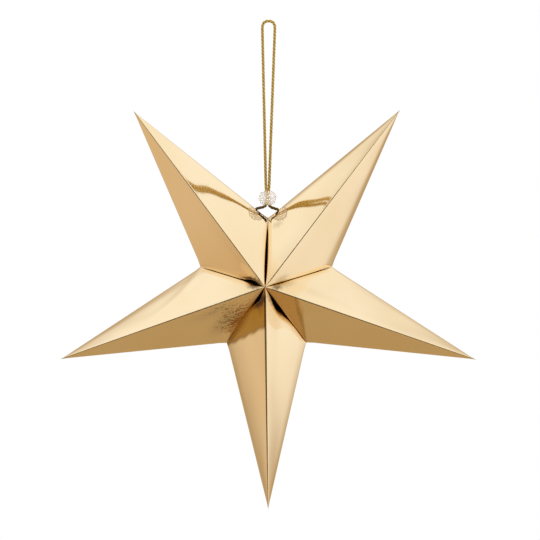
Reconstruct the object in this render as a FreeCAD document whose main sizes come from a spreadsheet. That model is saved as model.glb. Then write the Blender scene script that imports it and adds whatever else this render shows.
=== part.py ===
import FreeCAD, Part
import Sketcher
import math
import os

from FreeCAD import Rotation, Vector

# Folded card star with five hollow points, hung by a looped cord through a stopper bead.
# Millimetres. +Z is up, the front of the star faces -Y and its points lie in the XZ plane.
# The origin is the seat of the cord's top loop on whatever hook holds it.

os.makedirs("parts", exist_ok=True)
doc = FreeCAD.newDocument("FoldedStar")

# Driving dimensions
DIMENSIONS = [
    ("tip_radius", 159.7, "star axis to the end of a point"),
    ("valley_radius", 50.1, "star axis to the bottom of a valley"),
    ("half_depth", 51.0, "middle plane to the hub, front and back alike"),
    ("card_thickness", 0.35, "mirror-faced card"),
    ("glue_flap_width", 8.0, "flaps along the valleys and along the back ridge"),
    ("flap_notch", 1.2, "slit between the front and back flap at a valley"),
    ("hub_relief", 6.0, "radius left free of flaps round the star axis"),
    ("seam_opening", 2.0, "widest gap of the top seam, where the ring of points was closed"),
    ("upper_left_heading", 127.1, "degrees from +X towards +Z"),
    ("upper_right_heading", 52.9, "degrees from +X towards +Z"),
    ("right_heading", 340.8, "degrees from +X towards +Z"),
    ("bottom_heading", 270.3, "degrees from +X towards +Z"),
    ("left_heading", 199.4, "degrees from +X towards +Z"),
    ("star_drop", 192.3, "hook seat to the star axis"),
    ("fold_hole_width", 3.4, "hole for the cord, through the outer fold"),
    ("fold_hole_distance", 10.2, "bottom of the top valley to the hole, along the fold"),
    ("cord_width", 1.8, "twisted cord"),
    ("knot_width", 4.8, "stopper knot at each end of the cord"),
    ("bead_width", 13.0, "bead across"),
    ("bead_height", 10.2, "bead from end to end"),
    ("bead_bore", 3.9, "bore that grips two strands side by side"),
    ("bead_end_flat", 0.6, "flat ring round each end of the bore"),
    ("bead_mouth_radius", 0.3, "rounding of the bore's ends"),
    ("bead_drop", 127.8, "hook seat to the middle of the bead"),
]

sheet = doc.addObject("Spreadsheet::Sheet", "Sizes")
for row, (alias, value, meaning) in enumerate(DIMENSIONS, start=1):
    sheet.set(f"A{row}", alias.replace("_", " "))
    sheet.set(f"B{row}", str(value))
    sheet.set(f"C{row}", meaning)
    sheet.setAlias(f"B{row}", alias)
doc.recompute()


def size(alias):
    """The value of one driving dimension."""
    return float(getattr(sheet, alias))


TIP_RADIUS = size("tip_radius")
VALLEY_RADIUS = size("valley_radius")
HALF_DEPTH = size("half_depth")
CARD = size("card_thickness")
FLAP = size("glue_flap_width")
CORD_RADIUS = size("cord_width") / 2

# Points in the order of the ring. Each lies between its neighbours' valleys.
POINTS = ["upper_left", "upper_right", "right", "bottom", "left"]
FULL_TURN = 360.0
# Longer than any part of a card, for tools that cut right through
REACH = 4 * TIP_RADIUS
# How far a cutting tool stands past the face that it enters
OVERCUT = 5 * CARD

# The cord's route in X and Z, knot to knot: fold hole, leg, bore, strand, hook and back.
# It lies in the star's middle plane.
CORD_ROUTE = [
    (-10.21, -138.63),
    (-7.77, -135.58),
    (-2.5, -134.7),
    (-0.95, -133.4),
    (-0.95, -122.1),
    (-4.55, 0.9),
    (4.6, 0.9),
    (0.95, -122.1),
    (0.95, -133.4),
    (2.6, -134.8),
    (7.77, -135.58),
    (10.21, -138.63),
]
# Share of the shorter run that an arc of the cord takes up on each side of its point
ARC_SHARE = 0.45


def ring_direction(degrees):
    """Unit vector in the star's middle plane, at an angle from +X towards +Z."""
    angle = math.radians(degrees)
    return Vector(math.cos(angle), 0, math.sin(angle))


def turn_between(first, second):
    """Angle from one heading up to the next, counted the positive way."""
    return (second - first) % FULL_TURN


def solid_from_faces(faces):
    """Closed solid whose flat faces are given by their corners."""
    walls = [Part.Face(Part.makePolygon([*corners, corners[0]])) for corners in faces]
    solid = Part.makeSolid(Part.makeShell(walls))
    return solid if solid.Volume > 0 else solid.reversed()


def space_behind(point, outward):
    """Large block that fills the space behind a plane, away from its outward side."""
    block = Part.makeBox(REACH, REACH, REACH, Vector(-REACH / 2, -REACH / 2, -REACH))
    block.Placement = FreeCAD.Placement(point, Rotation(Vector(0, 0, 1), outward))
    return block


def prism(corners, direction):
    """Flat outline carried along a direction."""
    return Part.Face(Part.makePolygon([*corners, corners[0]])).extrude(direction)


class Card:
    """One point of the star, folded from one sheet, with its heading along local +X."""

    def __init__(self, left_turn, right_turn):
        self.tip = Vector(TIP_RADIUS, 0, 0)
        self.front_hub = Vector(0, -HALF_DEPTH, 0)
        self.back_hub = Vector(0, HALF_DEPTH, 0)
        self.left_valley = ring_direction(left_turn) * VALLEY_RADIUS
        self.right_valley = ring_direction(-right_turn) * VALLEY_RADIUS
        self.centre = (self.tip + self.left_valley + self.right_valley) / 4
        self.panels = [
            (hub, self.tip, valley)
            for hub in (self.front_hub, self.back_hub)
            for valley in (self.left_valley, self.right_valley)
        ]
        self.valley_walls = [
            (self.front_hub, self.back_hub, valley)
            for valley in (self.left_valley, self.right_valley)
        ]

    def outward(self, corners):
        """Unit normal of a flat face, pointing away from the inside of the card."""
        normal = (corners[1] - corners[0]).cross(corners[2] - corners[0])
        normal.normalize()
        inside = normal.dot(self.centre - corners[0]) > 0
        return -normal if inside else normal

    def inside_faces(self, faces, depth):
        """The space that lies at least depth below every one of the faces."""
        space = None
        for corners in faces:
            normal = self.outward(corners)
            block = space_behind(corners[0] - normal * depth, normal)
            space = block if space is None else space.common(block)
        return space

    def flap_windows(self):
        """What is cut from the valley walls, so that a glue flap is left along each seam."""
        windows = []
        for front, back, valley in self.valley_walls:
            wall_normal = self.outward((front, back, valley))
            towards_valley = Vector(valley)
            towards_valley.normalize()
            seam_length = (valley - front).Length
            inner_corner = valley - towards_valley * (FLAP * seam_length / HALF_DEPTH)
            corners = [
                inner_corner,
                inner_corner + front - valley,
                inner_corner + back - valley,
            ]
            lifted = [corner + wall_normal * OVERCUT for corner in corners]
            windows.append(prism(lifted, wall_normal * (-2 * OVERCUT)))
        return windows

    def flap_ends(self):
        """What separates the front flaps from the back ones, and frees the hub."""
        relief = Part.makeCylinder(
            size("hub_relief"), 2 * HALF_DEPTH, self.front_hub, Vector(0, 1, 0)
        )
        cuts = [relief]
        notch = size("flap_notch")
        for valley in (self.left_valley, self.right_valley):
            angle = math.degrees(math.atan2(valley.z, valley.x))
            slit = Part.makeBox(
                VALLEY_RADIUS, notch, 2 * OVERCUT, Vector(0, -notch / 2, -OVERCUT)
            )
            slit.rotate(Vector(0, 0, 0), Vector(0, -1, 0), angle)
            cuts.append(slit)
        return cuts

    def closing_flap(self, hollow):
        """Flap folded in under the back ridge and glued to the panel beside it."""
        corners = (self.back_hub, self.tip, self.left_valley)
        normal = self.outward(corners)
        along = self.tip - self.back_hub
        along.normalize()
        inward = normal.cross(along)
        if inward.dot(self.left_valley - self.back_hub) < 0:
            inward = -inward
        setback = along * FLAP
        outline = [
            self.back_hub + setback,
            self.tip - setback,
            self.tip - setback * 2 + inward * FLAP,
            self.back_hub + setback * 2 + inward * FLAP,
        ]
        lowered = [corner - normal * CARD for corner in outline]
        return prism(lowered, normal * -CARD).common(hollow)

    def seam_bow(self, valley, depth):
        """Cylinder whose side bows a front seam away from its valley plane.

        The side passes through both ends of the seam and stands half the seam's opening
        clear of the plane in the middle. depth moves it further into the card.
        """
        wall_normal = self.outward((self.front_hub, self.back_hub, valley))
        seam = self.front_hub - valley
        rise = size("seam_opening") / 2
        radius = (seam.Length ** 2 / 4 + rise ** 2) / (2 * rise)
        middle = valley + seam / 2
        across = seam.cross(wall_normal)
        across.normalize()
        start = middle + wall_normal * (radius - rise) - across * REACH / 2
        bow = Part.makeCylinder(radius + depth, REACH, start, across)
        front_half = Part.makeBox(
            REACH, REACH, REACH, Vector(-REACH / 2, -REACH, -REACH / 2)
        )
        return bow.common(front_half)

    def fold_hole(self, valley):
        """Round hole punched square to the outer fold, close to the top valley."""
        fold = self.tip - valley
        fold.normalize()
        place = valley + fold * size("fold_hole_distance")
        square_to_fold = fold.cross(Vector(0, 1, 0))
        width = size("fold_hole_width")
        start = place - square_to_fold * width
        return Part.makeCylinder(width / 2, 2 * width, start, square_to_fold)

    def shape(self, open_valley=None):
        """The folded sheet: four panels, four valley flaps and the closing flap."""
        outer = solid_from_faces(self.panels + self.valley_walls)
        under_panels = self.inside_faces(self.panels, CARD)
        hollow = under_panels.common(self.inside_faces(self.valley_walls, CARD))
        closing_flap = self.closing_flap(hollow)
        if open_valley is not None:
            outer = outer.cut(self.seam_bow(open_valley, 0))
            hollow = hollow.cut(self.seam_bow(open_valley, CARD))
        card = outer.cut(hollow)
        card = card.cut(self.flap_windows())
        card = card.cut([end.common(under_panels) for end in self.flap_ends()])
        card = card.fuse(closing_flap)
        if open_valley is not None:
            card = card.cut(self.fold_hole(open_valley))
        return card.removeSplitter()


def add_feature(name, shape):
    """Feature of the document that holds a finished shape."""
    feature = doc.addObject("Part::Feature", name)
    feature.Label = name
    feature.Shape = shape
    return feature


def add_cards():
    """Five cards in a ring, each placed at its own heading."""
    headings = {name: size(f"{name}_heading") for name in POINTS}
    made = []
    for place, name in enumerate(POINTS):
        before = POINTS[place - 1]
        after = POINTS[(place + 1) % len(POINTS)]
        left_turn = turn_between(headings[name], headings[before]) / 2
        right_turn = turn_between(headings[after], headings[name]) / 2
        card = Card(left_turn, right_turn)
        open_valley = None
        if name == "upper_left":
            open_valley = card.right_valley
        elif name == "upper_right":
            open_valley = card.left_valley
        point = add_feature(f"{name}_point", card.shape(open_valley))
        centre = "vector(0; 0; -Sizes.star_drop)"
        turned = f"rotation(vector(0; -1; 0); Sizes.{name}_heading)"
        point.setExpression("Placement", f"placement({centre}; {turned})")
        made.append(point)
    return made


def bead_profile(body):
    """Half section of the bead: bore, two flat ends and one bulging side."""
    profile = body.newObject("Sketcher::SketchObject", "bead_profile")
    upright = [plane for plane in body.Origin.OriginFeatures if plane.Role == "XZ_Plane"]
    profile.AttachmentSupport = [(upright[0], "")]
    profile.MapMode = "FlatFace"
    bore = size("bead_bore") / 2
    flat = bore + size("bead_end_flat")
    side = size("bead_width") / 2
    top = size("bead_height") / 2
    bulge = Part.Arc(Vector(flat, -top, 0), Vector(side, 0, 0), Vector(flat, top, 0))
    profile.addGeometry(bulge)
    profile.addGeometry(Part.LineSegment(Vector(flat, top, 0), Vector(bore, top, 0)))
    profile.addGeometry(Part.LineSegment(Vector(bore, top, 0), Vector(bore, -top, 0)))
    profile.addGeometry(Part.LineSegment(Vector(bore, -top, 0), Vector(flat, -top, 0)))
    bulge_side, top_end, bore_line, bottom_end = range(4)
    start, end, centre = 1, 2, 3
    axis = -1
    for first, first_point, second, second_point in [
        (bulge_side, end, top_end, start),
        (top_end, end, bore_line, start),
        (bore_line, end, bottom_end, start),
        (bottom_end, end, bulge_side, start),
    ]:
        profile.addConstraint(
            Sketcher.Constraint("Coincident", first, first_point, second, second_point)
        )
    profile.addConstraint(Sketcher.Constraint("Horizontal", top_end))
    profile.addConstraint(Sketcher.Constraint("Horizontal", bottom_end))
    profile.addConstraint(Sketcher.Constraint("Vertical", bore_line))
    profile.addConstraint(Sketcher.Constraint("PointOnObject", bulge_side, centre, axis))
    half_width = "Sizes.bead_width / 2"
    half_height = "Sizes.bead_height / 2"
    end_radius = "(Sizes.bead_bore / 2 + Sizes.bead_end_flat)"
    centre_place = (
        f"(({half_width}) ^ 2 - {end_radius} ^ 2 - ({half_height}) ^ 2)"
        f" / (2 * ({half_width} - {end_radius}))"
    )
    measured = [
        ("DistanceX", bore_line, start, bore, "Sizes.bead_bore / 2"),
        ("DistanceX", top_end, start, flat, end_radius),
        ("DistanceY", top_end, start, top, half_height),
        ("DistanceX", bulge_side, centre, profile.Geometry[bulge_side].Center.x, centre_place),
    ]
    for kind, item, point, value, expression in measured:
        number = profile.addConstraint(
            Sketcher.Constraint(kind, axis, start, item, point, value)
        )
        profile.setExpression(f"Constraints[{number}]", expression)
    return profile


def add_bead():
    """Rounded bead with one bore for both strands, its mouths rounded."""
    bead = doc.addObject("PartDesign::Body", "stopper_bead")
    bead.Label = "stopper_bead"
    turned = bead.newObject("PartDesign::Revolution", "turned_bead")
    turned.Profile = bead_profile(bead)
    turned.ReferenceAxis = (turned.Profile[0], ["V_Axis"])
    turned.Angle = FULL_TURN
    bead.Tip = turned
    doc.recompute()
    bore = size("bead_bore") / 2
    mouths = [
        f"Edge{number}"
        for number, edge in enumerate(turned.Shape.Edges, start=1)
        if isinstance(edge.Curve, Part.Circle) and math.isclose(edge.Curve.Radius, bore)
    ]
    rounded = bead.newObject("PartDesign::Fillet", "rounded_mouths")
    rounded.Base = (turned, mouths)
    rounded.setExpression("Radius", "Sizes.bead_mouth_radius")
    bead.Tip = rounded
    bead.setExpression("Placement.Base.z", "-Sizes.bead_drop")
    return bead


def rounded_path(points):
    """Straight runs joined by tangent arcs, each as large as its two runs allow."""
    edges = []
    start = points[0]
    for before, corner, after in zip(points, points[1:], points[2:]):
        back = before - corner
        ahead = after - corner
        turn = math.pi - back.getAngle(ahead)
        trim = ARC_SHARE * min(back.Length, ahead.Length)
        radius = trim / math.tan(turn / 2)
        back.normalize()
        ahead.normalize()
        bisector = back + ahead
        bisector.normalize()
        centre = corner + bisector * (radius / math.cos(turn / 2))
        arc_start = corner + back * trim
        arc_end = corner + ahead * trim
        arc_middle = centre - bisector * radius
        edges.append(Part.LineSegment(start, arc_start).toShape())
        edges.append(Part.Arc(arc_start, arc_middle, arc_end).toShape())
        print(f"cord: turn {math.degrees(turn):.1f} degrees, radius {radius:.2f} mm")
        start = arc_end
    edges.append(Part.LineSegment(start, points[-1]).toShape())
    return Part.Wire(edges)


def add_cord():
    """The looped cord from knot to knot."""
    points = [Vector(across, 0, height) for across, height in CORD_ROUTE]
    path = rounded_path(points)
    section = Part.Wire(Part.makeCircle(CORD_RADIUS, points[0], points[1] - points[0]))
    tube = path.makePipeShell([section], True, False)
    expected = math.pi * CORD_RADIUS ** 2 * path.Length
    print(f"cord: length {path.Length:.1f} mm, volume {tube.Volume:.2f} of {expected:.2f} mm3")
    knots = [Part.makeSphere(size("knot_width") / 2, end) for end in (points[0], points[-1])]
    cord = add_feature("hanging_cord", tube.fuse(knots))
    cord.Placement = FreeCAD.Placement()
    return cord


sub_parts = add_cards() + [add_bead(), add_cord()]
doc.recompute()

for item in doc.Objects:
    if "Invalid" in item.State or "Error" in item.State:
        raise RuntimeError(f"{item.Name} failed: {item.State}")
for item in sub_parts:
    shape = item.Shape
    if shape.isNull() or not shape.isValid() or len(shape.Solids) != 1:
        raise RuntimeError(f"{item.Label} has no valid single solid")
    box = shape.BoundBox
    print(
        f"{item.Label}: {shape.Volume:.1f} mm3, {len(shape.Faces)} faces, "
        f"x {box.XMin:.1f} to {box.XMax:.1f}, y {box.YMin:.1f} to {box.YMax:.1f}, "
        f"z {box.ZMin:.1f} to {box.ZMax:.1f}"
    )
for item in sub_parts:
    item.Shape.exportStep(f"parts/{item.Label}.step")
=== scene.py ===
import math

import bpy
import mathutils
import numpy as np
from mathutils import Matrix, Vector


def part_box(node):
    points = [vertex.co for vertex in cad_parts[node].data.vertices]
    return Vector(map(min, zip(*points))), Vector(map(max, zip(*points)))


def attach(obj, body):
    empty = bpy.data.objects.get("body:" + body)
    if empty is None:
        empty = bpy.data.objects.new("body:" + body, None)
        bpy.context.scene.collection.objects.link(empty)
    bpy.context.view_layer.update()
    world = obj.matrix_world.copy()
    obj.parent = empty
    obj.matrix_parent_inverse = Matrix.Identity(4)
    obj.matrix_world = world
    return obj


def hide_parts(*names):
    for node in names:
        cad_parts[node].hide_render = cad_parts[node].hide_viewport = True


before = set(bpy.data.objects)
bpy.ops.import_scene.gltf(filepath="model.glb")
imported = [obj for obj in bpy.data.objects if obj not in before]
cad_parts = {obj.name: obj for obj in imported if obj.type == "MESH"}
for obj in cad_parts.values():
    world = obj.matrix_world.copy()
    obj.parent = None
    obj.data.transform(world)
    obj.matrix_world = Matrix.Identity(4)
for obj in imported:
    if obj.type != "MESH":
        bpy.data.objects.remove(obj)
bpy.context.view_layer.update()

# Star, in metres, with the sizes of the folded cards
MILLIMETRE = 0.001
HEADINGS = {
    "upper_left_point": 127.1,
    "upper_right_point": 52.9,
    "right_point": 340.8,
    "bottom_point": 270.5,
    "left_point": 199.4,
}
AXIS_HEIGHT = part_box("bottom_point")[1][2]
TIP_RADIUS = (AXIS_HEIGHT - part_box("bottom_point")[0][2])
HALF_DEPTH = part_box("bottom_point")[1][1]
VALLEY_RADIUS = 50.1 * MILLIMETRE
CARD = 0.35 * MILLIMETRE
FLAP = 8.0 * MILLIMETRE
SEAM_LENGTH = 71 * MILLIMETRE

# How the folds and faces of the real card depart from flat panels, and by how many
# millimetres each tip runs past the radius of the flat star
TIP_SPIKES = {
    "upper_left_point": 0.7,
    "upper_right_point": 1.9,
    "right_point": 2.0,
    "bottom_point": 2.4,
    "left_point": -0.9,
}
CREASE_RADIUS = 0.8 * MILLIMETRE
SEAM_FOLD = 0.35 * MILLIMETRE
GAP_REACH = 26 * MILLIMETRE
PULL_REACH = 9 * MILLIMETRE
WAVE = 0.05 * MILLIMETRE
STREAK = 0.21 * MILLIMETRE
# How fast a flap closes its gap, at the top seam and at the others
TOP_FLAP_CLOSING = 6 * MILLIMETRE
FLAP_CLOSING = 1.5 * MILLIMETRE
# Share of the way to the tip at which the dished middle of the star ends
DISH_SHARE = 0.18
TOP_VALLEY_LEAN = 1.2 * MILLIMETRE
HUB_LEAN = -0.8 * MILLIMETRE
# Width of the gap on the left and the right of each point, in millimetres
SEAM_GAPS = {
    "upper_left_point": (1.2, 2.3),
    "upper_right_point": (2.3, 1.2),
    "right_point": (1.2, 0.5),
    "bottom_point": (0.5, 0.5),
    "left_point": (0.5, 1.2),
}
# How far an edge is pulled away from its neighbour near the hub: depth in millimetres, place
# and spread as shares of the way from hub to valley
SEAM_PULLS = {
    "upper_left_point": ((1.3, 0.20, 0.10), (0.0, 0.2, 0.1)),
    "upper_right_point": ((0.0, 0.2, 0.1), (0.0, 0.2, 0.1)),
    "right_point": ((0.0, 0.2, 0.1), (0.0, 0.2, 0.1)),
    "bottom_point": ((1.3, 0.32, 0.18), (1.4, 0.18, 0.12)),
    "left_point": ((0.0, 0.2, 0.1), (0.0, 0.2, 0.1)),
}
# Painted shade close to the hub, where the points meet: strength on the left and right front panel,
# reach in millimetres
HUB_PAINTED_SHADES = {
    "upper_left_point": (0.25, 0.06, 52),
    "upper_right_point": (0.36, 0.26, 17),
    "right_point": (0.18, 0.0, 22),
    "bottom_point": (0.25, 0.20, 18),
    "left_point": (0.0, 0.20, 22),
}
# Right front panels with a painted reflection of their neighbour near the hub, up to a straight
# border that is painted darker along it: weights of X and Z, limit in millimetres, depth of the
# painted shade and of the painted dark
HUB_PAINTED_ZONES = {
    "right_point": (1.0, 0.23, 19.7, 0.60, 0.0),
    "bottom_point": (0.53, -1.0, 27.4, 1.15, 0.36),
}
# Painted dark reflections: soft patches on the left (1) and right (2) front panel, where it
# would mirror the dark gap: panel, X and Z from the star's middle, half length and half width in
# millimetres, turn in degrees and strength
PAINTED_DARK_REFLECTIONS = {
    "upper_left_point": [
        (1, -9.3, 4.9, 6.5, 2.0, 163, 0.95),
        (1, -14.5, 6.2, 6.0, 1.2, 166, 0.45),
    ],
    "upper_right_point": [
        (2, 11.0, 5.8, 5.0, 1.8, 30, 0.32),
        (1, 8.2, 45.2, 4.2, 1.9, 30, 0.28),
    ],
    "right_point": [
        (1, 7.4, -0.3, 3.4, 1.8, 0, 0.80),
        (1, 14.0, 1.8, 6.5, 2.2, 12, 0.28),
    ],
    "bottom_point": [
        (1, 7.6, -13.9, 9.5, 2.1, -54, 0.95),
        (2, -4.2, -10.2, 5.5, 2.6, 235, 0.95),
    ],
    "left_point": [(2, -8.8, 0.3, 4.6, 1.8, 178, 0.85)],
}
# Radius of the front and back ridge, in millimetres
RIDGE_RADII = {
    "upper_left_point": 0.44,
    "upper_right_point": 0.36,
    "right_point": 0.50,
    "bottom_point": 0.68,
    "left_point": 0.46,
}
# Arch of the left and the right front panel in millimetres, how much the ridge swells near
# the tip, and by how many millimetres it stands over the dished middle of the star
PANEL_BOWS = {
    "upper_left_point": (-0.6, -0.15, 0.0, -0.7),
    "upper_right_point": (-0.1, 1.15, 0.26, 0.0),
    "right_point": (0.3, 0.3, 0.19, 2.2),
    "bottom_point": (0.35, 1.4, 0.42, 1.2),
    "left_point": (0.3, 0.6, 0.24, 0.8),
}
# Soft bend beside the outer folds: reach in millimetres and slope, left panel, right panel
SOFT_BENDS = {
    "upper_left_point": (12, 0.03, 14, 0.07),
    "upper_right_point": (11, 0.14, 16, 0.13),
    "right_point": (10, 0.05, 10, 0.03),
    "bottom_point": (12, 0.06, 12, 0.07),
    "left_point": (10, 0.03, 14, 0.09),
}
# Radius in millimetres that each front panel's seam edge rolls in by, and how far from the hub
SEAM_ROLLS = {
    "upper_left_point": (2.2, 0.50, 0.0, 0.3),
    "upper_right_point": (0.0, 0.3, 0.9, 0.40),
    "right_point": (1.3, 0.40, 0.0, 0.3),
    "bottom_point": (2.6, 0.75, 1.6, 0.45),
    "left_point": (0.0, 0.3, 1.8, 0.35),
}

# Grid of a panel, and the share of the way to the tip at which its last row lies
ROWS = 120
COLUMNS = 48
FLAP_ROWS = 8
LAST_ROW = 0.9985

# Cord and bead
CORD_WIDTH = 1.8 * MILLIMETRE
LOOSE_CORD_WIDTH = 2.2 * MILLIMETRE
# Length of the cord over which its three plies turn once, how far off the cord's middle they
# lie as a share of its width, and the ring spacing of its skin
PLY_PITCH = 7.5 * MILLIMETRE
PLY_LAY = 0.20
CORD_STEP = 0.22 * MILLIMETRE
CORD_SIDES = 24
# Where the bead squeezes the cord, how far up and down, and by what share
SQUEEZE_HEIGHT = -128 * MILLIMETRE
SQUEEZE_REACH = 4.2 * MILLIMETRE
SQUEEZE = 0.35
BEAD_SHIFT = 0.9 * MILLIMETRE
BEAD_BORE = 3.9 * MILLIMETRE
BEAD_MOUTH = 0.3 * MILLIMETRE
BEAD_END_FLAT = 0.6 * MILLIMETRE
CORD_ROUTE = [
    (-10.21, 0.0, -138.63),
    (-7.7, 0.0, -135.4),
    (-2.4, 0.8, -134.6),
    (0.0, -0.2, -133.2),
    (0.9, -0.95, -127.8),
    (-0.2, -0.3, -122.1),
    (-0.5, 0.0, -110.8),
    (-2.75, 0.0, -9.9),
    (-2.95, 0.0, 0.9),
    (6.45, 0.7, 0.9),
    (6.1, 0.7, -9.9),
    (2.35, 0.2, -110.8),
    (2.0, 0.3, -122.1),
    (0.9, 0.95, -127.8),
    (1.8, 0.2, -133.2),
    (4.2, 0.0, -135.0),
    (9.1, 0.0, -136.2),
    (11.3, 0.0, -139.2),
]
KNOT_WIDTH = 4.8 * MILLIMETRE
KNOT_STEPS = 120
KNOT_SIDES = 12

# Surroundings, in metres. The tent is brightest along BRIGHT_WAY.
BRIGHT_WAY = (0.45, 0.0, 0.90)
FLOOR_RADIUS = 0.8
FLOOR_BACK = 0.3
FLOOR_HEIGHT = -0.9
CAMERA_LENS = 183.3
CAMERA_PLACE = (0.00271, -2.0, -0.1802)
LAMP_PLACE = (0.30, -2.15, 0.10)
LAMP_AIM = (0, 0, -0.2)
LAMP_SIZE = 0.35
LAMP_WATTS = 14.0


# Node materials

def new_material(name):
    """Empty node material, with its nodes and its links."""
    material = bpy.data.materials.new(name)
    material.use_nodes = True
    nodes = material.node_tree.nodes
    nodes.clear()
    return material, nodes, material.node_tree.links


def shader_output(nodes, links, shader):
    """Joins the shader to the material's surface."""
    output = nodes.new("ShaderNodeOutputMaterial")
    links.new(shader.outputs[0], output.inputs["Surface"])


def object_place(nodes):
    """Socket with the place on the object, in metres."""
    return nodes.new("ShaderNodeTexCoord").outputs["Object"]


def point_value(nodes, name):
    """Socket with the number that the mesh points carry under the name."""
    node = nodes.new("ShaderNodeAttribute")
    node.attribute_name = name
    return node.outputs["Fac"]


def noise(nodes, links, place, scale, detail=2.0, distortion=0.0):
    """Socket with a noise over the place."""
    node = nodes.new("ShaderNodeTexNoise")
    node.inputs["Scale"].default_value = scale
    node.inputs["Detail"].default_value = detail
    node.inputs["Distortion"].default_value = distortion
    links.new(place, node.inputs["Vector"])
    return node.outputs["Fac"]


def colour_ramp(nodes, links, source, stops, smooth="LINEAR"):
    """Socket with the colour for the source's value, from stops of position and colour."""
    node = nodes.new("ShaderNodeValToRGB")
    node.color_ramp.interpolation = smooth
    elements = node.color_ramp.elements
    elements[0].position, elements[0].color = stops[0][0], (*stops[0][1], 1)
    elements[1].position, elements[1].color = stops[-1][0], (*stops[-1][1], 1)
    for position, colour in stops[1:-1]:
        elements.new(position).color = (*colour, 1)
    links.new(source, node.inputs["Fac"])
    return node.outputs["Color"]


def spread(nodes, links, source, low, high):
    """Socket with the source's value from 0 to 1 spread from low to high."""
    node = nodes.new("ShaderNodeMapRange")
    node.inputs["To Min"].default_value = low
    node.inputs["To Max"].default_value = high
    links.new(source, node.inputs["Value"])
    return node.outputs["Result"]


def product(nodes, links, first, second):
    """Socket with the product of two values."""
    node = nodes.new("ShaderNodeMath")
    node.operation = "MULTIPLY"
    links.new(first, node.inputs[0])
    links.new(second, node.inputs[1])
    return node.outputs[0]


def mixed(nodes, links, first, second, factor, blend="MIX", beyond=False):
    """Socket with a mix of two colours, each a socket or a plain colour. With beyond, a
    factor over 1 goes on past the second colour."""
    node = nodes.new("ShaderNodeMix")
    node.data_type = "RGBA"
    node.blend_type = blend
    node.clamp_factor = not beyond
    node.clamp_result = beyond
    for name, value in (("A", first), ("B", second)):
        if isinstance(value, tuple):
            node.inputs[name].default_value = (*value, 1)
        else:
            links.new(value, node.inputs[name])
    links.new(factor, node.inputs["Factor"])
    return node.outputs["Result"]


def bumped(nodes, links, height, strength, distance, below=None):
    """Socket with the normal of a bumped surface, laid over another bump if one is given."""
    node = nodes.new("ShaderNodeBump")
    node.inputs["Strength"].default_value = strength
    node.inputs["Distance"].default_value = distance
    links.new(height, node.inputs["Height"])
    if below is not None:
        links.new(below, node.inputs["Normal"])
    return node.outputs["Normal"]


def mirror_card_material():
    """Gold mirror film: bright metal under a clear coat, with the film's faint orange peel,
    small cracks along the folds, wrinkles, and painted shade and painted dark reflections that
    the mesh points carry."""
    material, nodes, links = new_material("gold_mirror_card")
    shader = nodes.new("ShaderNodeBsdfPrincipled")
    shader.inputs["Metallic"].default_value = 1.0
    shader.inputs["Coat Weight"].default_value = 0.6
    shader.inputs["Coat Roughness"].default_value = 0.03
    place = object_place(nodes)
    tone = noise(nodes, links, place, 14.0, 3.0)
    gold = colour_ramp(nodes, links, tone, [(0.3, (0.955, 0.755, 0.455)), (0.7, (0.992, 0.815, 0.54))])
    # Painted shade near the hub and painted reflection zones, carried by the mesh points
    shade = point_value(nodes, "shade")
    deeper = mixed(nodes, links, gold, (0.72, 0.52, 0.17), shade, "MULTIPLY", beyond=True)
    # Painted dark reflections of the gaps, carried by the mesh points
    dark = point_value(nodes, "dark")
    darker = mixed(nodes, links, deeper, (0.14, 0.095, 0.012), dark, "MULTIPLY")
    links.new(darker, shader.inputs["Base Color"])
    grain = noise(nodes, links, place, 900.0)
    links.new(spread(nodes, links, grain, 0.035, 0.075), shader.inputs["Roughness"])
    peel = noise(nodes, links, place, 260.0, 3.0)
    normal = bumped(nodes, links, peel, 0.25, 0.00001)
    cracks = nodes.new("ShaderNodeTexVoronoi")
    cracks.feature = "DISTANCE_TO_EDGE"
    cracks.inputs["Scale"].default_value = 900.0
    links.new(place, cracks.inputs["Vector"])
    crack_depth = product(nodes, links, cracks.outputs["Distance"], point_value(nodes, "fold"))
    normal = bumped(nodes, links, crack_depth, 0.6, 0.0002, normal)
    stretched = nodes.new("ShaderNodeMapping")
    stretched.inputs["Scale"].default_value = (0.6, 1.0, 1.0)
    stretched.inputs["Rotation"].default_value = (0.0, -0.35, 0.0)
    links.new(place, stretched.inputs["Vector"])
    wrinkles = noise(nodes, links, stretched.outputs["Vector"], 250.0, distortion=1.0)
    wrinkle_height = product(nodes, links, wrinkles, point_value(nodes, "crumple"))
    normal = bumped(nodes, links, wrinkle_height, 1.0, 0.0036, normal)
    links.new(normal, shader.inputs["Normal"])
    shader_output(nodes, links, shader)
    return material


def card_inside_material():
    """Unprinted grey-white board with pulp flecks."""
    material, nodes, links = new_material("plain_card_inside")
    shader = nodes.new("ShaderNodeBsdfPrincipled")
    shader.inputs["Roughness"].default_value = 0.85
    pulp = noise(nodes, links, object_place(nodes), 1200.0, 5.0)
    board = colour_ramp(nodes, links, pulp, [(0.0, (0.55, 0.52, 0.47)), (1.0, (0.78, 0.76, 0.72))])
    links.new(board, shader.inputs["Base Color"])
    shader_output(nodes, links, shader)
    return material


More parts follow.
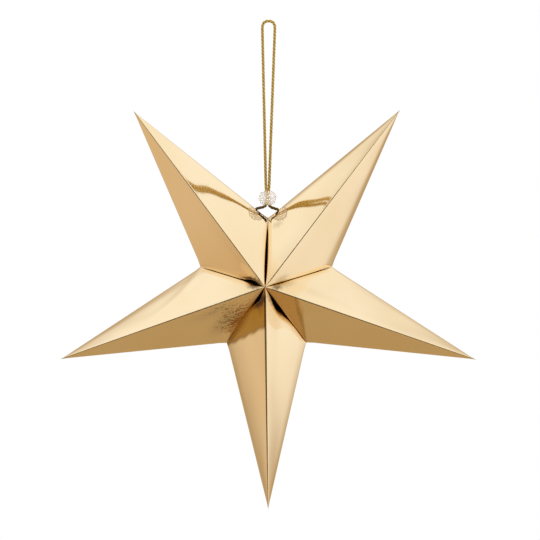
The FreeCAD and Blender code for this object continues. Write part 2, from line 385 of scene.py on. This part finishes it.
def cord_material():
    """Metallised yarn: golden plies with flecks, and painted shade in the grooves between them.
    Below the bead the yarn gets painted shade."""
    material, nodes, links = new_material("twisted_gold_yarn")
    shader = nodes.new("ShaderNodeBsdfPrincipled")
    shader.inputs["Metallic"].default_value = 0.15
    shader.inputs["Roughness"].default_value = 0.32
    place = object_place(nodes)
    flecks = noise(nodes, links, place, 900.0, 3.0)
    gold = colour_ramp(nodes, links, flecks, [(0.38, (0.98, 0.57, 0.05)), (0.62, (1.0, 0.82, 0.27))])
    # Painted shade in the grooves between the plies
    with_groove_shade = mixed(nodes, links, gold, (0.11, 0.038, 0.002), point_value(nodes, "painted_groove_shade"))
    # Painted shade on the yarn below the bead
    height = nodes.new("ShaderNodeSeparateXYZ")
    links.new(place, height.inputs[0])
    below = nodes.new("ShaderNodeMapRange")
    below.inputs["From Min"].default_value = -0.1325
    below.inputs["From Max"].default_value = -0.1340
    links.new(height.outputs["Z"], below.inputs["Value"])
    painted_shade_below_bead = mixed(nodes, links, with_groove_shade, (0.22, 0.20, 0.16), below.outputs["Result"], "MULTIPLY")
    links.new(painted_shade_below_bead, shader.inputs["Base Color"])
    links.new(bumped(nodes, links, flecks, 0.6, 0.0001), shader.inputs["Normal"])
    shader_output(nodes, links, shader)
    return material


def bead_material():
    """Clear moulded plastic with a faint warm cast and a soft haze."""
    material, nodes, links = new_material("clear_bead_plastic")
    shader = nodes.new("ShaderNodeBsdfPrincipled")
    shader.inputs["Transmission Weight"].default_value = 0.74
    shader.inputs["IOR"].default_value = 1.12
    haze = noise(nodes, links, object_place(nodes), 350.0)
    tint = colour_ramp(nodes, links, haze, [(0.0, (1.0, 0.955, 0.90)), (1.0, (1.0, 0.98, 0.95))])
    links.new(tint, shader.inputs["Base Color"])
    links.new(spread(nodes, links, haze, 0.40, 0.48), shader.inputs["Roughness"])
    shader_output(nodes, links, shader)
    return material


# Meshes

def make_piece(name, points, faces, materials):
    """Mesh object at the origin from arrays of points and faces, shaded smooth."""
    mesh = bpy.data.meshes.new(name)
    mesh.from_pydata(np.asarray(points).tolist(), [], faces)
    mesh.update()
    mesh.shade_smooth()
    for material in materials:
        mesh.materials.append(material)
    piece = bpy.data.objects.new(name, mesh)
    bpy.context.scene.collection.objects.link(piece)
    return piece


def set_point_values(piece, name, values):
    """Gives every mesh point its number under the name, for the materials to read."""
    attribute = piece.data.attributes.new(name, "FLOAT", "POINT")
    attribute.data.foreach_set("value", values.astype(np.float32))


def grid_quads(row_count, column_count, start=0, closed=False):
    """Corner numbers of the quads of a grid whose points are stored row by row."""
    number = np.arange(row_count * column_count).reshape(row_count, column_count) + start
    if closed:
        number = np.concatenate([number, number[:, :1]], axis=1)
    quads = [number[:-1, :-1], number[:-1, 1:], number[1:, 1:], number[1:, :-1]]
    return np.stack(quads, axis=-1).reshape(-1, 4)


def unit(vectors):
    """Vectors divided by their own lengths."""
    return vectors / np.linalg.norm(vectors, axis=-1, keepdims=True)


def direction(degrees):
    """Unit vector in the star's middle plane, turned from +X towards +Z."""
    angle = math.radians(degrees)
    return np.array([math.cos(angle), 0.0, math.sin(angle)])


def eased(count):
    """Numbers from 0 to 1, half a cosine wave apart, so that they crowd at both ends."""
    return 0.5 - 0.5 * np.cos(np.pi * np.linspace(0, 1, count))


def round_off(distance, size):
    """Shift of a fold's flanks: a parabola that is as deep as size at the fold and ends at
    twice the size from it."""
    reach = 2 * size
    return np.clip(reach - distance, 0, None) ** 2 / (2 * reach)


def half_turns(name):
    """Half the turn to the next point on the left and on the right, in degrees."""
    names = list(HEADINGS)
    place = names.index(name)
    heading = HEADINGS[name]
    before = HEADINGS[names[place - 1]]
    after = HEADINGS[names[(place + 1) % len(names)]]
    return (before - heading) % 360 / 2, (heading - after) % 360 / 2


class FoldedCard:
    """One hollow point, with its heading along local +X and the star's axis along local Y.

    Its four panels run round the point from the back ridge over the left outer fold, the
    front ridge and the right outer fold. Panel points lie on straight lines from the seams
    at the star's middle to the tip, and the same lines go on over the seams into the flaps.
    """

    def __init__(self, name):
        """Takes the named point's sizes, and works out where its four folds start."""
        left_turn, right_turn = half_turns(name)
        self.name = name
        self.seed = list(HEADINGS).index(name)
        self.tip = np.array([TIP_RADIUS + TIP_SPIKES[name] * MILLIMETRE, 0.0, 0.0])
        back = np.array([0.0, HALF_DEPTH, 0.0])
        left = direction(left_turn) * VALLEY_RADIUS
        right = direction(-right_turn) * VALLEY_RADIUS
        lean = direction(-HEADINGS[name]) * TOP_VALLEY_LEAN
        if name == "upper_left_point":
            right = right + lean
        if name == "upper_right_point":
            left = left + lean
        front = -back + direction(-HEADINGS[name]) * HUB_LEAN
        self.feet = [back, left, front, right]
        self.top_panel = {"upper_left_point": 2, "upper_right_point": 1}.get(name)
        bows = PANEL_BOWS[name]
        self.bows = [bows[0], bows[0], bows[1], bows[1]]
        self.swell = bows[2]
        self.dish = bows[3]
        rolls = SEAM_ROLLS[name]
        self.rolls = {1: rolls[:2], 2: rolls[2:]}
        bends = SOFT_BENDS[name]
        self.bends = [bends[:2], bends[:2], bends[2:], bends[2:]]
        pulls = SEAM_PULLS[name]
        self.pulls = {1: pulls[0], 2: pulls[1]}
        gaps = SEAM_GAPS[name]
        self.gaps = [gaps[0], gaps[0], gaps[1], gaps[1]]

    def corners(self, panel):
        """The two folds' starts, on the seams, between which the panel lies."""
        return self.feet[panel], self.feet[(panel + 1) % 4]

    def fold_shift(self, corner, distance, width, along):
        """Shift that rounds a fold off, along the fold's inner bisector."""
        foot = self.feet[corner]
        to_tip = unit(self.tip - foot)
        ways = []
        for other in (self.feet[(corner + 1) % 4], self.feet[(corner - 1) % 4]):
            way = other - foot
            ways.append(unit(way - (way @ to_tip) * to_tip))
        inward = unit(ways[0] + ways[1])
        cosine = ways[0] @ inward
        ridge = corner in (0, 2)
        radius = RIDGE_RADII[self.name] * MILLIMETRE if ridge else CREASE_RADIUS
        radius = radius * np.clip(0.15 + along / 0.05, 0, 1) * (1 - 0.5 * along)
        size = np.minimum(radius * cosine / (1 - cosine ** 2), (0.4 if ridge else 0.15) * width)
        return inward * cosine * round_off(distance, size)

    def panel_lift(self, panel, along, across, width):
        """Height of a panel over its flat form.

        It is a shallow arch, a soft bend beside the outer fold whose slope fades over its
        reach as a smooth step, three long waves, and on the left point's upper face a faint
        streak, a bell curve across a line from the valley towards the ridge.
        """
        crease_first = panel in (1, 3)
        from_crease = (across if crease_first else 1 - across) * width
        arch = self.bows[panel] * MILLIMETRE * 4 * across * (1 - across) * (1 - along)
        reach, slope = self.bends[panel]
        reach = reach * MILLIMETRE * (1 - along) ** 0.5 * np.clip(along / 0.03, 0.02, 1) + 1e-6
        step = np.clip(from_crease / reach, 0, 1)
        risen = step - step ** 3 + step ** 4 / 2
        bend = slope * reach * (risen - 0.5 * from_crease / width)
        phase = 1.7 * self.seed + 0.9 * panel
        waves = WAVE * np.sin(np.pi * across) * np.sin(np.pi * along) ** 0.7 * (
            np.sin(9.0 * along + 2.0 * across + phase)
            + 0.6 * np.sin(17.0 * along - 3.0 * across + 2.1 * phase)
            + 0.5 * np.sin(5.0 * across + 4.0 * along + 3.3 * phase)
        )
        if self.name == "left_point" and panel == 2:
            beside = (across - 0.98 + 1.22 * along) * width * 0.63
            streak = np.exp(-(beside / (2.4 * MILLIMETRE)) ** 2 - ((along - 0.24) / 0.21) ** 2)
            waves = waves + STREAK * streak
        return arch + bend + waves

    def panel(self, panel):
        """Rows of points of one panel with its flap, from the flap's edge to the tip."""
        start, end = self.corners(panel)
        across = eased(COLUMNS)[None, :, None]
        along = eased(ROWS)[:, None, None] * LAST_ROW
        seam_line = start + across * (end - start)
        length = np.linalg.norm(end - start)
        normal = unit(np.cross(end - start, self.tip - start))
        if normal @ (start + end) < 0:
            normal = -normal
        width = length * (1 - along)
        sheet = seam_line + along * (self.tip - seam_line)
        sheet = sheet + self.fold_shift(panel, across * width, width, along)
        sheet = sheet + self.fold_shift((panel + 1) % 4, (1 - across) * width, width, along)
        sheet = sheet + normal * self.panel_lift(panel, along, across, width)
        ridge = start if panel in (0, 2) else end
        near_ridge = 1 - across if panel in (0, 2) else across
        rise = ((along / DISH_SHARE + 1e-4) ** -5 + ((1 - along) / (1 - DISH_SHARE)) ** -5) ** -0.2
        rise = rise * self.dish * MILLIMETRE / HALF_DEPTH
        sheet = sheet + ridge * (self.swell * along ** 2 * (1 - along) + rise) * near_ridge

        # The seam: the gap between two cards, and the fold into the flap
        hub_first = panel in (0, 2)
        hub, valley = (start, end) if hub_first else (end, start)
        share = across if hub_first else 1 - across
        seam = unit(valley - hub)
        into_card = unit(np.array([-valley[2], 0.0, valley[0]]))
        if into_card[0] < 0:
            into_card = -into_card
        flap_way = unit(np.cross(seam, into_card))
        if flap_way @ hub > 0:
            flap_way = -flap_way
        off_seam = (self.tip - hub) - ((self.tip - hub) @ seam) * seam
        onto_panel = unit(off_seam)
        from_seam = along * np.linalg.norm(off_seam)
        gap = self.half_gap(panel, share)
        pull = self.pull(panel, share)
        ends = np.clip(np.minimum(share, 1 - share) / 0.05, 0, 1)
        turned = (flap_way + onto_panel) / 2 * ends
        drawn_in = gap * np.exp(-from_seam / GAP_REACH) + pull * np.exp(-from_seam / PULL_REACH)
        sheet = sheet + into_card * drawn_in
        roll = self.roll(panel, share)
        sheet = sheet + turned * round_off(from_seam, roll)

        step = np.linspace(1, 0, FLAP_ROWS + 1)[:-1, None, None] ** 1.6
        corner_room = np.minimum(share, 1 - share) * length - 0.4 * MILLIMETRE
        depth = np.clip(0.9 * corner_room, 0.15 * MILLIMETRE, FLAP) * step
        closing = np.exp(-depth / (TOP_FLAP_CLOSING if self.top_panel == panel else FLAP_CLOSING))
        flap = seam_line + flap_way * depth + into_card * (gap * closing + pull)
        flap = flap + turned * round_off(depth, roll)
        return np.concatenate([flap, sheet])

    def half_gap(self, panel, share):
        """Half the width of the gap at a seam, by share of the way from hub to valley.

        It opens as a smooth step, from a sixth to two fifths of the way, and closes at the
        valley. The top seam's is a wide half sine wave, because the ring of points was
        closed there.
        """
        half = self.gaps[panel] * MILLIMETRE / 2
        if self.top_panel == panel:
            return half * np.sin(np.pi * share ** 0.8) ** 1.1
        opening = np.clip((share - 0.16) / 0.25, 0, 1)
        corner = np.clip((1 - share) / 0.10, 0, 1)
        return half * (0.08 + 0.92 * opening ** 2 * (3 - 2 * opening)) * (1 - 0.3 * share) * corner

    def pull(self, panel, share):
        """How far an edge is pulled away from its neighbour: a bell curve along the seam."""
        depth, place, width = self.pulls.get(panel, (0.0, 0.5, 0.1))
        from_hub = np.clip(share / 0.06, 0, 1)
        return depth * MILLIMETRE * np.exp(-((share - place) / width) ** 2) * from_hub

    def roll(self, panel, share):
        """Size of the fold from a panel into its flap.

        Near the hub some edges are pulled in: a half sine wave squared, up to a share of
        the way to the valley, is added to the even fold.
        """
        radius, end = self.rolls.get(panel, (0.0, 1.0))
        return SEAM_FOLD + radius * MILLIMETRE * np.sin(np.pi * np.clip(share / end, 0, 1)) ** 2

    def build(self, materials):
        """The card as one closed sheet: outer face, inner face, flap edges and tip."""
        parts = [self.panel(number) for number in range(4)]
        for number in range(4):
            before = parts[number - 1]
            middle = (before[:, -1] + parts[number][:, 0]) / 2
            before[:, -1] = middle
            parts[number][:, 0] = middle
        outer = np.concatenate([part[:, :-1] for part in parts], axis=1)
        rows, columns = outer.shape[:2]
        ahead = np.roll(outer, -1, axis=1) - np.roll(outer, 1, axis=1)
        along = np.gradient(outer, axis=0)
        normals = unit(np.cross(ahead, along) + 1e-15)
        middle_normal = normals[rows // 2, COLUMNS // 2]
        if middle_normal @ (outer[rows // 2, COLUMNS // 2] * np.array([0, 1, 1])) < 0:
            normals = -normals
        room = np.linalg.norm(outer - outer.mean(axis=1, keepdims=True), axis=2, keepdims=True)
        inner = outer - normals * np.minimum(CARD, 0.4 * room)
        count = rows * columns
        outer_quads = grid_quads(rows, columns, closed=True)
        inner_quads = grid_quads(rows, columns, start=count, closed=True)[:, ::-1]
        ring = np.arange(columns)
        after = np.roll(ring, -1)
        rim = np.stack([ring, after, after + count, ring + count], axis=1)[:, ::-1]
        tips = np.array([outer[-1].mean(axis=0), inner[-1].mean(axis=0)])
        last = (rows - 1) * columns
        peak = np.full(columns, 2 * count)
        outer_tip = np.stack([ring + last, after + last, peak], axis=1)
        inner_tip = np.stack([after + last + count, ring + last + count, peak + 1], axis=1)
        local = np.concatenate([outer.reshape(-1, 3), inner.reshape(-1, 3), tips])
        heading = math.radians(HEADINGS[self.name])
        points = local.copy()
        points[:, 0] = local[:, 0] * math.cos(heading) - local[:, 2] * math.sin(heading)
        points[:, 2] = local[:, 0] * math.sin(heading) + local[:, 2] * math.cos(heading)
        points[:, 2] += AXIS_HEIGHT
        faces = outer_quads.tolist() + inner_quads.tolist() + rim.tolist()
        faces += outer_tip.tolist() + inner_tip.tolist()
        piece = make_piece("folded_" + self.name, points, faces, materials)
        inside = np.zeros(len(faces), dtype=np.int32)
        inside[len(outer_quads):len(outer_quads) + len(inner_quads) + len(rim)] = 1
        inside[-columns:] = 1
        piece.data.polygons.foreach_set("material_index", inside)
        across = np.tile(eased(COLUMNS)[:-1], 4)
        to_fold = np.minimum(across, 1 - across)[None, :] * SEAM_LENGTH
        shrink = np.concatenate([np.ones(FLAP_ROWS), 1 - eased(ROWS)])[:, None]
        near = np.exp(-to_fold * shrink / (1.0 * MILLIMETRE))
        both_sides = {
            "fold": (near.reshape(-1), 1.0),
            "crumple": (self.crumple(), 0.0),
            # Painted shade and painted dark reflections, for the gold mirror material
            "shade": (self.shade(outer), 0.0),
            "dark": (self.painted_darkness(outer), 0.0),
        }
        for name, (values, at_tip) in both_sides.items():
            set_point_values(piece, name, np.append(np.tile(values, 2), [at_tip, at_tip]))
        return piece

    def places(self):
        """Across and along of all points of one side: across counts up by one per panel."""
        across = np.concatenate([eased(COLUMNS)[:-1] + number for number in range(4)])[None]
        along = np.concatenate([np.zeros(FLAP_ROWS), eased(ROWS)])[:, None]
        return across, along

    def crumple(self):
        """Strength of the small wrinkles: two soft patches on the left point's lower face,
        one close to its valley and a fainter one beside the ridge, and none elsewhere."""
        across, along = self.places()
        first = ((across - 1.48) / 0.26) ** 2 + ((along - 0.10) / 0.07) ** 2
        second = ((across - 1.80) / 0.14) ** 2 + ((along - 0.21) / 0.10) ** 2
        strength = np.exp(-first ** 1.5) + 0.7 * np.exp(-second)
        return (strength * (self.name == "left_point")).reshape(-1)

    def shade(self, outer):
        """Painted shade near the hub: a bell curve of the distance in the star's plane, and where a
        zone is listed a painted darker reflection, even up to a soft border and a little darker along
        it."""
        left, right, reach = HUB_PAINTED_SHADES[self.name]
        across, along = self.places()
        panel = np.floor(across + 0 * along)
        strength = left * (panel == 1) + right * (panel == 2)
        distance = np.hypot(outer[:, :, 0], outer[:, :, 2]) / (reach * MILLIMETRE)
        tone = strength * np.exp(-distance ** 3)
        if self.name in HUB_PAINTED_ZONES:
            inside, border = self.zone(outer)
            # Painted darker reflection inside the zone, painted shade along its border
            tone = tone + (HUB_PAINTED_ZONES[self.name][3] * inside + 0.3 * border) * (panel == 2)
        return np.clip(tone, 0, 1.6).reshape(-1)

    def turned_places(self, outer):
        """X and Z of the card's points in the frame, in millimetres from the star's middle."""
        heading = math.radians(HEADINGS[self.name])
        place_x = outer[:, :, 0] * math.cos(heading) - outer[:, :, 2] * math.sin(heading)
        place_z = outer[:, :, 0] * math.sin(heading) + outer[:, :, 2] * math.cos(heading)
        return place_x / MILLIMETRE, place_z / MILLIMETRE

    def zone(self, outer):
        """Share inside the listed zone, a smooth step, and its border line, a bell curve."""
        weight_x, weight_z, limit = HUB_PAINTED_ZONES[self.name][:3]
        place_x, place_z = self.turned_places(outer)
        beyond = weight_x * place_x + weight_z * place_z - limit + 0.5 * np.sin(place_x / 1.1)
        return 0.5 - 0.5 * np.tanh(beyond / 1.2), np.exp(-(beyond / 1.1) ** 2)

    def painted_darkness(self, outer):
        """Painted dark reflections near the seams, each a flat-topped bell curve of the distance from
        its centre along and across it. The zones and the wrinkles get painted shade too, and the
        upper left fold a painted dark line between hole and valley."""
        across, along = self.places()
        panel = np.floor(across + 0 * along)
        place_x, place_z = self.turned_places(outer)
        # Painted shade in the wrinkles
        dark = 0.3 * self.crumple().reshape(panel.shape)
        for number, middle_x, middle_z, length, width, turn, strength in PAINTED_DARK_REFLECTIONS[self.name]:
            angle = math.radians(turn)
            forth = (place_x - middle_x) * math.cos(angle) + (place_z - middle_z) * math.sin(angle)
            aside = (place_z - middle_z) * math.cos(angle) - (place_x - middle_x) * math.sin(angle)
            ripple = 0.25 * np.sin(1.9 * forth + middle_x) * width
            far = ((forth / length) ** 2 + ((aside + ripple) / width) ** 2) ** 1.4
            dark = dark + strength * np.exp(-far) * (panel == number)
        # Painted dark in the zone and along its border
        if self.name in HUB_PAINTED_ZONES:
            inside, border = self.zone(outer)
            dark = dark + (HUB_PAINTED_ZONES[self.name][4] * inside + 0.35 * border) * (panel == 2)
        # Painted dark line along the upper left fold, between hole and valley
        if self.name == "upper_left_point":
            from_fold = (3 - across) * SEAM_LENGTH * (1 - along)
            edge = np.exp(-(from_fold / (2.2 * MILLIMETRE)) ** 4) * (along < 0.09) * (along > 0)
            dark = dark + 0.9 * edge * (panel == 2)
        return np.clip(dark, 0, 0.97).reshape(-1)


def route_points():
    """Points along the cord's centre line, as Blender evaluates its NURBS spline."""
    curve = bpy.data.curves.new("cord_line", "CURVE")
    curve.dimensions = "3D"
    spline = curve.splines.new("NURBS")
    spline.points.add(len(CORD_ROUTE) - 1)
    for point, (across, deep, up) in zip(spline.points, CORD_ROUTE):
        point.co = (across * MILLIMETRE, deep * MILLIMETRE, up * MILLIMETRE, 1.0)
    spline.order_u = 3
    spline.use_endpoint_u = True
    spline.resolution_u = 40
    line = bpy.data.objects.new("cord_line", curve)
    mesh = bpy.data.meshes.new_from_object(line)
    points = np.array([vertex.co[:] for vertex in mesh.vertices])
    bpy.data.objects.remove(line)
    bpy.data.meshes.remove(mesh)
    return points


def evenly(points, spacing):
    """Points on the same line at even steps."""
    steps = np.linalg.norm(np.diff(points, axis=0), axis=1)
    run = np.concatenate([[0], np.cumsum(steps)])
    keep = np.concatenate([[True], steps > 1e-9])
    run, points = run[keep], points[keep]
    places = np.linspace(0, run[-1], int(run[-1] / spacing) + 1)
    return np.stack([np.interp(places, run, points[:, axis]) for axis in range(3)], axis=1), places


def tube(centres, first, second, radius, angle):
    """Points of a tube about centre points, from two crosswise unit vectors at each."""
    spokes = first[:, None] * np.cos(angle)[..., None] + second[:, None] * np.sin(angle)[..., None]
    return centres[:, None] + spokes * radius


def make_cord(material, points):
    """Three plies laid round each other along the route, as one closed skin.

    The skin's radius in a direction is the far side of the nearest ply's circle: lay times
    cos(angle) plus the square root of (ply radius squared less lay squared times
    sin(angle) squared), with the angle measured from that ply. The section turns evenly
    along the route and is squeezed where it passes the bead.
    """
    line, run = evenly(points, CORD_STEP)
    ahead = unit(np.gradient(line, axis=0))
    side = unit(np.cross(ahead, np.array([0.0, 1.0, 0.0])))
    depth = np.cross(side, ahead)
    lay = PLY_LAY * LOOSE_CORD_WIDTH
    ply = LOOSE_CORD_WIDTH / 2 - lay
    angle = np.linspace(0, 2 * np.pi, CORD_SIDES, endpoint=False)[None]
    from_ply = np.abs((angle + np.pi / 3) % (2 * np.pi / 3) - np.pi / 3)
    radius = lay * np.cos(from_ply) + np.sqrt(ply ** 2 - (lay * np.sin(from_ply)) ** 2)
    twist = 2 * np.pi * run[:, None] / PLY_PITCH
    in_bore = np.exp(-((line[:, 2] - SQUEEZE_HEIGHT) / SQUEEZE_REACH) ** 4)
    squeezed = radius[..., None] * (1 - SQUEEZE * in_bore)[:, None, None]
    rings = tube(line, side, depth, squeezed, angle + twist)
    faces = grid_quads(len(line), CORD_SIDES, closed=True).tolist()
    faces.append(list(range(CORD_SIDES))[::-1])
    faces.append(list(range((len(line) - 1) * CORD_SIDES, len(line) * CORD_SIDES)))
    piece = make_piece("twisted_cord", rings.reshape(-1, 3), faces, [material])
    # Painted shade in the grooves between the plies
    set_point_values(piece, "painted_groove_shade", np.tile((from_ply[0] / (np.pi / 3)) ** 4, len(line)))
    return piece


def make_bead(material):
    """Barrel bead: a half-ellipse section with small end flats, turned about the bore."""
    low, high = (np.array(corner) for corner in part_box("stopper_bead"))
    centre = (low + high) / 2 + np.array([BEAD_SHIFT, 0, 0])
    half_width = (high[0] - low[0]) / 2
    half_height = (high[2] - low[2]) / 2
    bore = BEAD_BORE / 2
    mouth = BEAD_MOUTH
    angle = np.linspace(-1, 1, 60)
    end_radius = bore + mouth + BEAD_END_FLAT
    bulge = np.sqrt(1 - (angle * math.sqrt(1 - (end_radius / half_width) ** 2)) ** 2)
    outer = np.stack([half_width * bulge, half_height * angle], axis=1)
    quarter = np.linspace(0, np.pi / 2, 7)
    top = np.stack([
        bore + mouth - mouth * np.sin(quarter),
        half_height - mouth + mouth * np.cos(quarter),
    ], axis=1)
    wall = np.linspace(half_height - mouth, -half_height + mouth, 12)[1:-1]
    inside = np.stack([np.full(len(wall), bore), wall], axis=1)
    bottom = top[::-1] * np.array([1, -1])
    profile = np.concatenate([outer, top, inside, bottom])
    turns = np.linspace(0, 2 * np.pi, 96, endpoint=False)
    ring = np.stack([np.cos(turns), np.sin(turns)], axis=1)
    points = np.zeros((len(profile), len(turns), 3))
    points[:, :, :2] = profile[:, 0][:, None, None] * ring[None]
    points[:, :, 2] = profile[:, 1][:, None]
    closed = np.concatenate([points, points[:1]])
    quads = grid_quads(len(profile) + 1, len(turns), closed=True) % (len(profile) * len(turns))
    return make_piece("clear_bead", closed[:-1].reshape(-1, 3) + centre, quads.tolist(), [material])


def make_knot(name, material, centre):
    """Overhand knot: a tube along the trefoil curve, scaled to the knot's width."""
    turn = np.linspace(0, 2 * np.pi, KNOT_STEPS, endpoint=False)
    curve = np.stack([
        np.sin(turn) + 2 * np.sin(2 * turn),
        np.cos(turn) - 2 * np.cos(2 * turn),
        -np.sin(3 * turn),
    ], axis=1)
    curve = curve / 3 * (KNOT_WIDTH - CORD_WIDTH) / 2
    ahead = unit(np.roll(curve, -1, axis=0) - np.roll(curve, 1, axis=0))
    out = unit(np.cross(ahead, np.array([0.0, 0.0, 1.0])))
    angle = np.linspace(0, 2 * np.pi, KNOT_SIDES, endpoint=False)[None]
    rings = tube(curve + centre, out, np.cross(ahead, out), CORD_WIDTH / 2, angle)
    wrapped = np.concatenate([rings, rings[:1]])
    quads = grid_quads(KNOT_STEPS + 1, KNOT_SIDES, closed=True) % (KNOT_STEPS * KNOT_SIDES)
    piece = make_piece(name, wrapped[:-1].reshape(-1, 3), quads.tolist(), [material])
    # The knot gets a fifth of the painted groove shade all over
    set_point_values(piece, "painted_groove_shade", np.full(KNOT_STEPS * KNOT_SIDES, 0.2))
    return piece


# Surroundings

def make_world():
    """Soft light tent, bright above and to the right, with a dark opening round the camera.

    The mirror card shows it on all sides. What the camera sees past the star, or through
    the bead, is white.
    """
    world = bpy.data.worlds.new("light_tent")
    bpy.context.scene.world = world
    world.use_nodes = True
    nodes = world.node_tree.nodes
    links = world.node_tree.links
    nodes.clear()
    place = nodes.new("ShaderNodeTexCoord")
    split = nodes.new("ShaderNodeSeparateXYZ")
    links.new(place.outputs["Generated"], split.inputs[0])
    slope = nodes.new("ShaderNodeVectorMath")
    slope.operation = "DOT_PRODUCT"
    slope.inputs[1].default_value = BRIGHT_WAY
    links.new(place.outputs["Generated"], slope.inputs[0])

    def share(source):
        """Socket with the source's value from -1 to 1 spread from 0 to 1."""
        node = nodes.new("ShaderNodeMapRange")
        node.inputs["From Min"].default_value = -1.0
        links.new(source, node.inputs["Value"])
        return node.outputs["Result"]

    tent = colour_ramp(nodes, links, share(slope.outputs["Value"]), [
        (0.05, (0.47, 0.34, 0.19)),
        (0.135, (0.69, 0.53, 0.36)),
        (0.25, (0.83, 0.72, 0.57)),
        (0.54, (0.94, 0.90, 0.88)),
        (0.63, (1.0, 1.0, 1.0)),
    ])
    facing = share(split.outputs["Y"])
    black, white = (0, 0, 0), (1, 1, 1)
    tan_wall = colour_ramp(nodes, links, facing, [(0.645, black), (0.80, white)], "EASE")
    opening = colour_ramp(nodes, links, facing, [(0.20, white), (0.32, black)], "EASE")
    behind = colour_ramp(nodes, links, facing, [(0.90, black), (0.97, white)], "EASE")
    tent = mixed(nodes, links, tent, (0.50, 0.38, 0.24), tan_wall)
    tent = mixed(nodes, links, tent, (0.09, 0.065, 0.035), opening)
    tent = mixed(nodes, links, tent, (1.0, 1.0, 1.0), behind)
    ray = nodes.new("ShaderNodeLightPath")
    seen = nodes.new("ShaderNodeMath")
    seen.operation = "MAXIMUM"
    links.new(ray.outputs["Is Camera Ray"], seen.inputs[0])
    links.new(ray.outputs["Is Transmission Ray"], seen.inputs[1])
    tent = mixed(nodes, links, tent, (1.0, 1.0, 1.0), seen.outputs[0])
    background = nodes.new("ShaderNodeBackground")
    links.new(tent, background.inputs["Color"])
    output = nodes.new("ShaderNodeOutputWorld")
    links.new(background.outputs[0], output.inputs["Surface"])


def floor_material():
    """Pale matt board with a faint mottle, which the mirror card shows as a tan board."""
    material, nodes, links = new_material("pale_floor_board")
    shader = nodes.new("ShaderNodeBsdfPrincipled")
    shader.inputs["Roughness"].default_value = 0.9
    mottle = noise(nodes, links, object_place(nodes), 4.0)
    tan = colour_ramp(nodes, links, mottle, [(0.0, (0.586, 0.437, 0.233)), (1.0, (0.642, 0.484, 0.27))])
    pale = colour_ramp(nodes, links, mottle, [(0.0, (0.82, 0.81, 0.79)), (1.0, (0.88, 0.87, 0.85))])
    ray = nodes.new("ShaderNodeLightPath")
    seen = mixed(nodes, links, tan, pale, ray.outputs["Is Camera Ray"])
    links.new(seen, shader.inputs["Base Color"])
    shader_output(nodes, links, shader)
    return material


def make_floor():
    """Round pale floor well below the star."""
    radius = np.array([0.0001, FLOOR_RADIUS / 2, FLOOR_RADIUS])[:, None]
    turn = np.linspace(0, 2 * np.pi, 96, endpoint=False)[None]
    across = radius * np.cos(turn)
    deep = radius * np.sin(turn) + FLOOR_BACK
    points = np.stack([across, deep, np.full(across.shape, FLOOR_HEIGHT)], axis=-1)
    quads = grid_quads(3, 96, closed=True)
    floor = make_piece("pale_floor", points.reshape(-1, 3), quads.tolist(), [floor_material()])


def make_lamp(name, place, aim, size, power):
    """Square area lamp that points from its place at the aim. Mirror card doesn't show it."""
    lamp = bpy.data.lights.new(name, "AREA")
    lamp.size = size
    lamp.energy = power
    holder = bpy.data.objects.new(name, lamp)
    bpy.context.scene.collection.objects.link(holder)
    holder.location = place
    way = mathutils.Vector(aim) - mathutils.Vector(place)
    holder.rotation_euler = way.to_track_quat("-Z", "Y").to_euler()
    holder.visible_glossy = False


def make_camera():
    """Level camera in front of the star, with a long lens."""
    camera = bpy.data.cameras.new("front_camera")
    camera.lens = CAMERA_LENS
    holder = bpy.data.objects.new("front_camera", camera)
    bpy.context.scene.collection.objects.link(holder)
    holder.location = CAMERA_PLACE
    holder.rotation_euler = (math.radians(90), 0, 0)
    bpy.context.scene.camera = holder


bpy.context.scene.view_settings.view_transform = "Standard"
make_camera()

route = route_points()
yarn = cord_material()
cord = make_cord(yarn, route)
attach(cord, "root")
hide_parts("hanging_cord")

bead = make_bead(bead_material())
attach(bead, "root")
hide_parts("stopper_bead")

for side, place in (("left", CORD_ROUTE[0]), ("right", CORD_ROUTE[-1])):
    spot = np.array(place) * MILLIMETRE
    knot = make_knot("end_knot_" + side, yarn, spot)
    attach(knot, "root")

card_materials = [mirror_card_material(), card_inside_material()]
for point_name in HEADINGS:
    card = FoldedCard(point_name).build(card_materials)
    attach(card, "root")
    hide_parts(point_name)

make_world()
make_floor()
make_lamp("key_lamp", LAMP_PLACE, LAMP_AIM, LAMP_SIZE, LAMP_WATTS)
